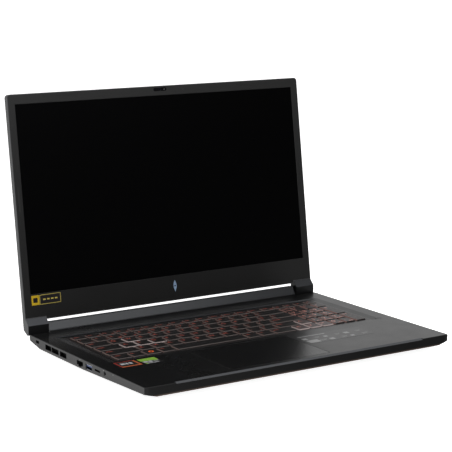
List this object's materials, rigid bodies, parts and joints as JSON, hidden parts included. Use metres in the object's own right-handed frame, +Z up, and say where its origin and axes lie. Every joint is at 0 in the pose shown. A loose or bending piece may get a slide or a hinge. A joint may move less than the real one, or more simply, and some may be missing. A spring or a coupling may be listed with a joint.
{
  "type": "laptop computer",
  "caption": "Large gaming-style notebook computer with a friction-hinged lid, sprung keys with a number pad, click touchpad and cooling fans.",
  "frame": {"origin": "on the table, below the middle of the box of the opened laptop", "axes": "+X to the user's right, +Y from the user to the rear, +Z up"},
  "size_m": [0.401, 0.3047, 0.2856],
  "materials": {
    "black_plastic": "satin moulded",
    "lid_plastic": "fine textured",
    "bezel_plastic": "fine textured",
    "screen": "anti-glare, switched off",
    "sheet_steel": "stamped",
    "hinge_steel": "black oxide",
    "aluminium": "rolled",
    "copper": "drawn copper",
    "circuit_board": "solder mask",
    "battery_wrap": "film wrapped",
    "rubber": "moulded",
    "lens_glass": "polished",
    "keycap": "coated, translucent red skirt",
    "keyboard_web": "moulded",
    "dome_silicone": "moulded",
    "touch_surface": "fine matt",
    "port_steel": "plated",
    "port_plastic": "moulded",
    "emblem": "printed",
    "label": "printed film",
    "sticker": "printed film",
    "light_pipe": "clear",
    "screw_steel": "black"
  },
  "bodies": {
    "base": {"audio_jack": "port_plastic", "battery": "battery_wrap", "bottom_cover": "black_plastic", "bottom_screws": "screw_steel", "card_slot": "port_plastic", "cold_plates": "copper", "deck": "black_plastic", "fan_housings": "port_plastic", "heat_pipes": "copper", "hinge_bar_cover": "black_plastic", "hinge_mounts": "hinge_steel", "key_domes": "dome_silicone", "keyboard_frame": "keyboard_web", "keyboard_plate": "sheet_steel", "lock_plate": "hinge_steel", "mainboard": "circuit_board", "memory_modules": "circuit_board", "network_jack": "port_plastic", "palm_stickers": "sticker", "power_inlet": "port_plastic", "rear_fin_stacks": "aluminium", "rubber_feet": "rubber", "side_fin_stacks": "aluminium", "speakers": "port_plastic", "status_lights": "light_pipe", "storage_drive": "circuit_board", "usb_c_port": "port_steel", "usb_port_left": "port_steel", "usb_ports_right": "port_steel", "video_port": "port_steel", "wireless_card": "circuit_board"},
    "lid": {"lid_back_cover": "lid_plastic", "screen_bezel": "bezel_plastic", "display_panel": "screen", "panel_tray": "sheet_steel", "camera_module": "circuit_board", "camera_lens": "lens_glass", "bezel_bumpers": "rubber", "bezel_emblem": "emblem", "bezel_sticker": "label", "display_cable": "port_plastic", "wireless_antennas": "circuit_board", "hinge_arm_left": "lid_plastic", "hinge_arm_right": "lid_plastic", "lid_hinge_left": "hinge_steel", "lid_hinge_right": "hinge_steel"},
    "key_enter": {"key_enter": "keycap"},
    "key_space": {"key_space": "keycap"},
    "keys_arrows": {"keys_arrows": "keycap"},
    "keys_bottom_row": {"keys_bottom_row": "keycap"},
    "keys_function_row": {"keys_function_row": "keycap"},
    "keys_home_row": {"keys_home_row": "keycap"},
    "keys_lower_row": {"keys_lower_row": "keycap"},
    "keys_number_row": {"keys_number_row": "keycap"},
    "keys_numpad": {"keys_numpad": "keycap"},
    "keys_upper_row": {"keys_upper_row": "keycap"},
    "touchpad": {"touchpad": "touch_surface"},
    "fan_left": {"fan_rotor_left": "port_plastic"},
    "fan_right": {"fan_rotor_right": "port_plastic"}
  },
  "joints": [
    {"name": "lid_hinge", "type": "hinge", "parent": "base", "child": "lid", "pos_m": [0, 0.11184, 0.024], "axis": [-1, 0, 0], "range_deg": [-98.25, 37]},
    {"name": "key_enter_press", "type": "slide", "parent": "base", "child": "key_enter", "axis": [0, 0, 1], "range_m": [-0.0016, 0], "stiffness_N_per_m": 200, "springref_m": 0.0008},
    {"name": "key_space_press", "type": "slide", "parent": "base", "child": "key_space", "axis": [0, 0, 1], "range_m": [-0.0016, 0], "stiffness_N_per_m": 200, "springref_m": 0.0008},
    {"name": "keys_arrows_press", "type": "slide", "parent": "base", "child": "keys_arrows", "axis": [0, 0, 1], "range_m": [-0.0016, 0], "stiffness_N_per_m": 600, "springref_m": 0.0008},
    {"name": "keys_bottom_row_press", "type": "slide", "parent": "base", "child": "keys_bottom_row", "axis": [0, 0, 1], "range_m": [-0.0016, 0], "stiffness_N_per_m": 600, "springref_m": 0.0008},
    {"name": "keys_function_row_press", "type": "slide", "parent": "base", "child": "keys_function_row", "axis": [0, 0, 1], "range_m": [-0.0016, 0], "stiffness_N_per_m": 600, "springref_m": 0.0008},
    {"name": "keys_home_row_press", "type": "slide", "parent": "base", "child": "keys_home_row", "axis": [0, 0, 1], "range_m": [-0.0016, 0], "stiffness_N_per_m": 600, "springref_m": 0.0008},
    {"name": "keys_lower_row_press", "type": "slide", "parent": "base", "child": "keys_lower_row", "axis": [0, 0, 1], "range_m": [-0.0016, 0], "stiffness_N_per_m": 600, "springref_m": 0.0008},
    {"name": "keys_number_row_press", "type": "slide", "parent": "base", "child": "keys_number_row", "axis": [0, 0, 1], "range_m": [-0.0016, 0], "stiffness_N_per_m": 600, "springref_m": 0.0008},
    {"name": "keys_numpad_press", "type": "slide", "parent": "base", "child": "keys_numpad", "axis": [0, 0, 1], "range_m": [-0.0016, 0], "stiffness_N_per_m": 600, "springref_m": 0.0008},
    {"name": "keys_upper_row_press", "type": "slide", "parent": "base", "child": "keys_upper_row", "axis": [0, 0, 1], "range_m": [-0.0016, 0], "stiffness_N_per_m": 600, "springref_m": 0.0008},
    {"name": "touchpad_click", "type": "hinge", "parent": "base", "child": "touchpad", "pos_m": [-0.024, -0.05776, 0.0175], "axis": [1, 0, 0], "range_deg": [0, 0.45], "stiffness_Nm_per_rad": 60, "springref_deg": -0.57},
    {"name": "fan_left_spin", "type": "hinge", "parent": "base", "child": "fan_left", "pos_m": [-0.125, 0.05954, 0.0085], "axis": [0, 0, 1], "continuous": true},
    {"name": "fan_right_spin", "type": "hinge", "parent": "base", "child": "fan_right", "pos_m": [0.125, 0.05954, 0.0085], "axis": [0, 0, 1], "continuous": true}
  ]
}
